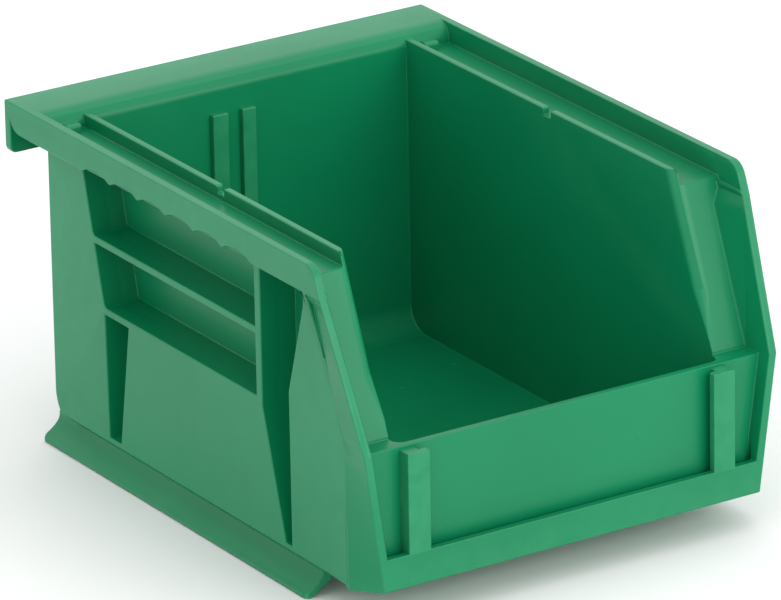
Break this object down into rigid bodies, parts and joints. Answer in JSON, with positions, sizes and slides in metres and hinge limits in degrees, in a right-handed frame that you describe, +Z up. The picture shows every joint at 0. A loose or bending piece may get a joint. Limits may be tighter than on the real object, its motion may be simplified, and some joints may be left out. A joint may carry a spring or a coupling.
{
  "type": "stackable storage bin",
  "caption": "Open-front plastic storage bin with a rear hanging hook, stacking ledges, ribbed side pockets, a label holder on the front wall and flared feet.",
  "frame": {"origin": "centre of the bounding box at the level of the foot tips", "axes": "+X towards the bin's right-hand side seen from the front, +Y towards the hanging hook at the back, +Z up"},
  "size_m": [0.105, 0.136, 0.075],
  "materials": {
    "green_polypropylene": "semi-gloss moulded"
  },
  "bodies": {
    "root": {"floor_panel": "green_polypropylene", "back_wall": "green_polypropylene", "left_inner_wall": "green_polypropylene", "right_inner_wall": "green_polypropylene", "front_wall": "green_polypropylene", "front_base_strip": "green_polypropylene", "left_label_post": "green_polypropylene", "right_label_post": "green_polypropylene", "left_divider_guide": "green_polypropylene", "right_divider_guide": "green_polypropylene", "hanger_top": "green_polypropylene", "hanger_lip": "green_polypropylene", "left_stacking_ledge": "green_polypropylene", "right_stacking_ledge": "green_polypropylene", "left_rim_skirt": "green_polypropylene", "right_rim_skirt": "green_polypropylene", "left_ledge_stop": "green_polypropylene", "right_ledge_stop": "green_polypropylene", "left_rear_post": "green_polypropylene", "right_rear_post": "green_polypropylene", "left_rear_post_wall": "green_polypropylene", "right_rear_post_wall": "green_polypropylene", "left_mid_panel": "green_polypropylene", "right_mid_panel": "green_polypropylene", "left_mid_panel_rear_wall": "green_polypropylene", "right_mid_panel_rear_wall": "green_polypropylene", "left_mid_panel_front_wall": "green_polypropylene", "right_mid_panel_front_wall": "green_polypropylene", "left_front_panel": "green_polypropylene", "right_front_panel": "green_polypropylene", "left_front_panel_wall": "green_polypropylene", "right_front_panel_wall": "green_polypropylene", "left_upper_rib": "green_polypropylene", "right_upper_rib": "green_polypropylene", "left_lower_rib": "green_polypropylene", "right_lower_rib": "green_polypropylene", "left_thin_rib": "green_polypropylene", "right_thin_rib": "green_polypropylene", "left_rear_groove_ramp": "green_polypropylene", "right_rear_groove_ramp": "green_polypropylene", "left_front_groove_ramp": "green_polypropylene", "right_front_groove_ramp": "green_polypropylene", "left_front_end_web": "green_polypropylene", "right_front_end_web": "green_polypropylene", "left_front_cheek": "green_polypropylene", "right_front_cheek": "green_polypropylene", "left_side_sill": "green_polypropylene", "right_side_sill": "green_polypropylene", "left_foot_flange": "green_polypropylene", "right_foot_flange": "green_polypropylene"}
  },
  "joints": []
}
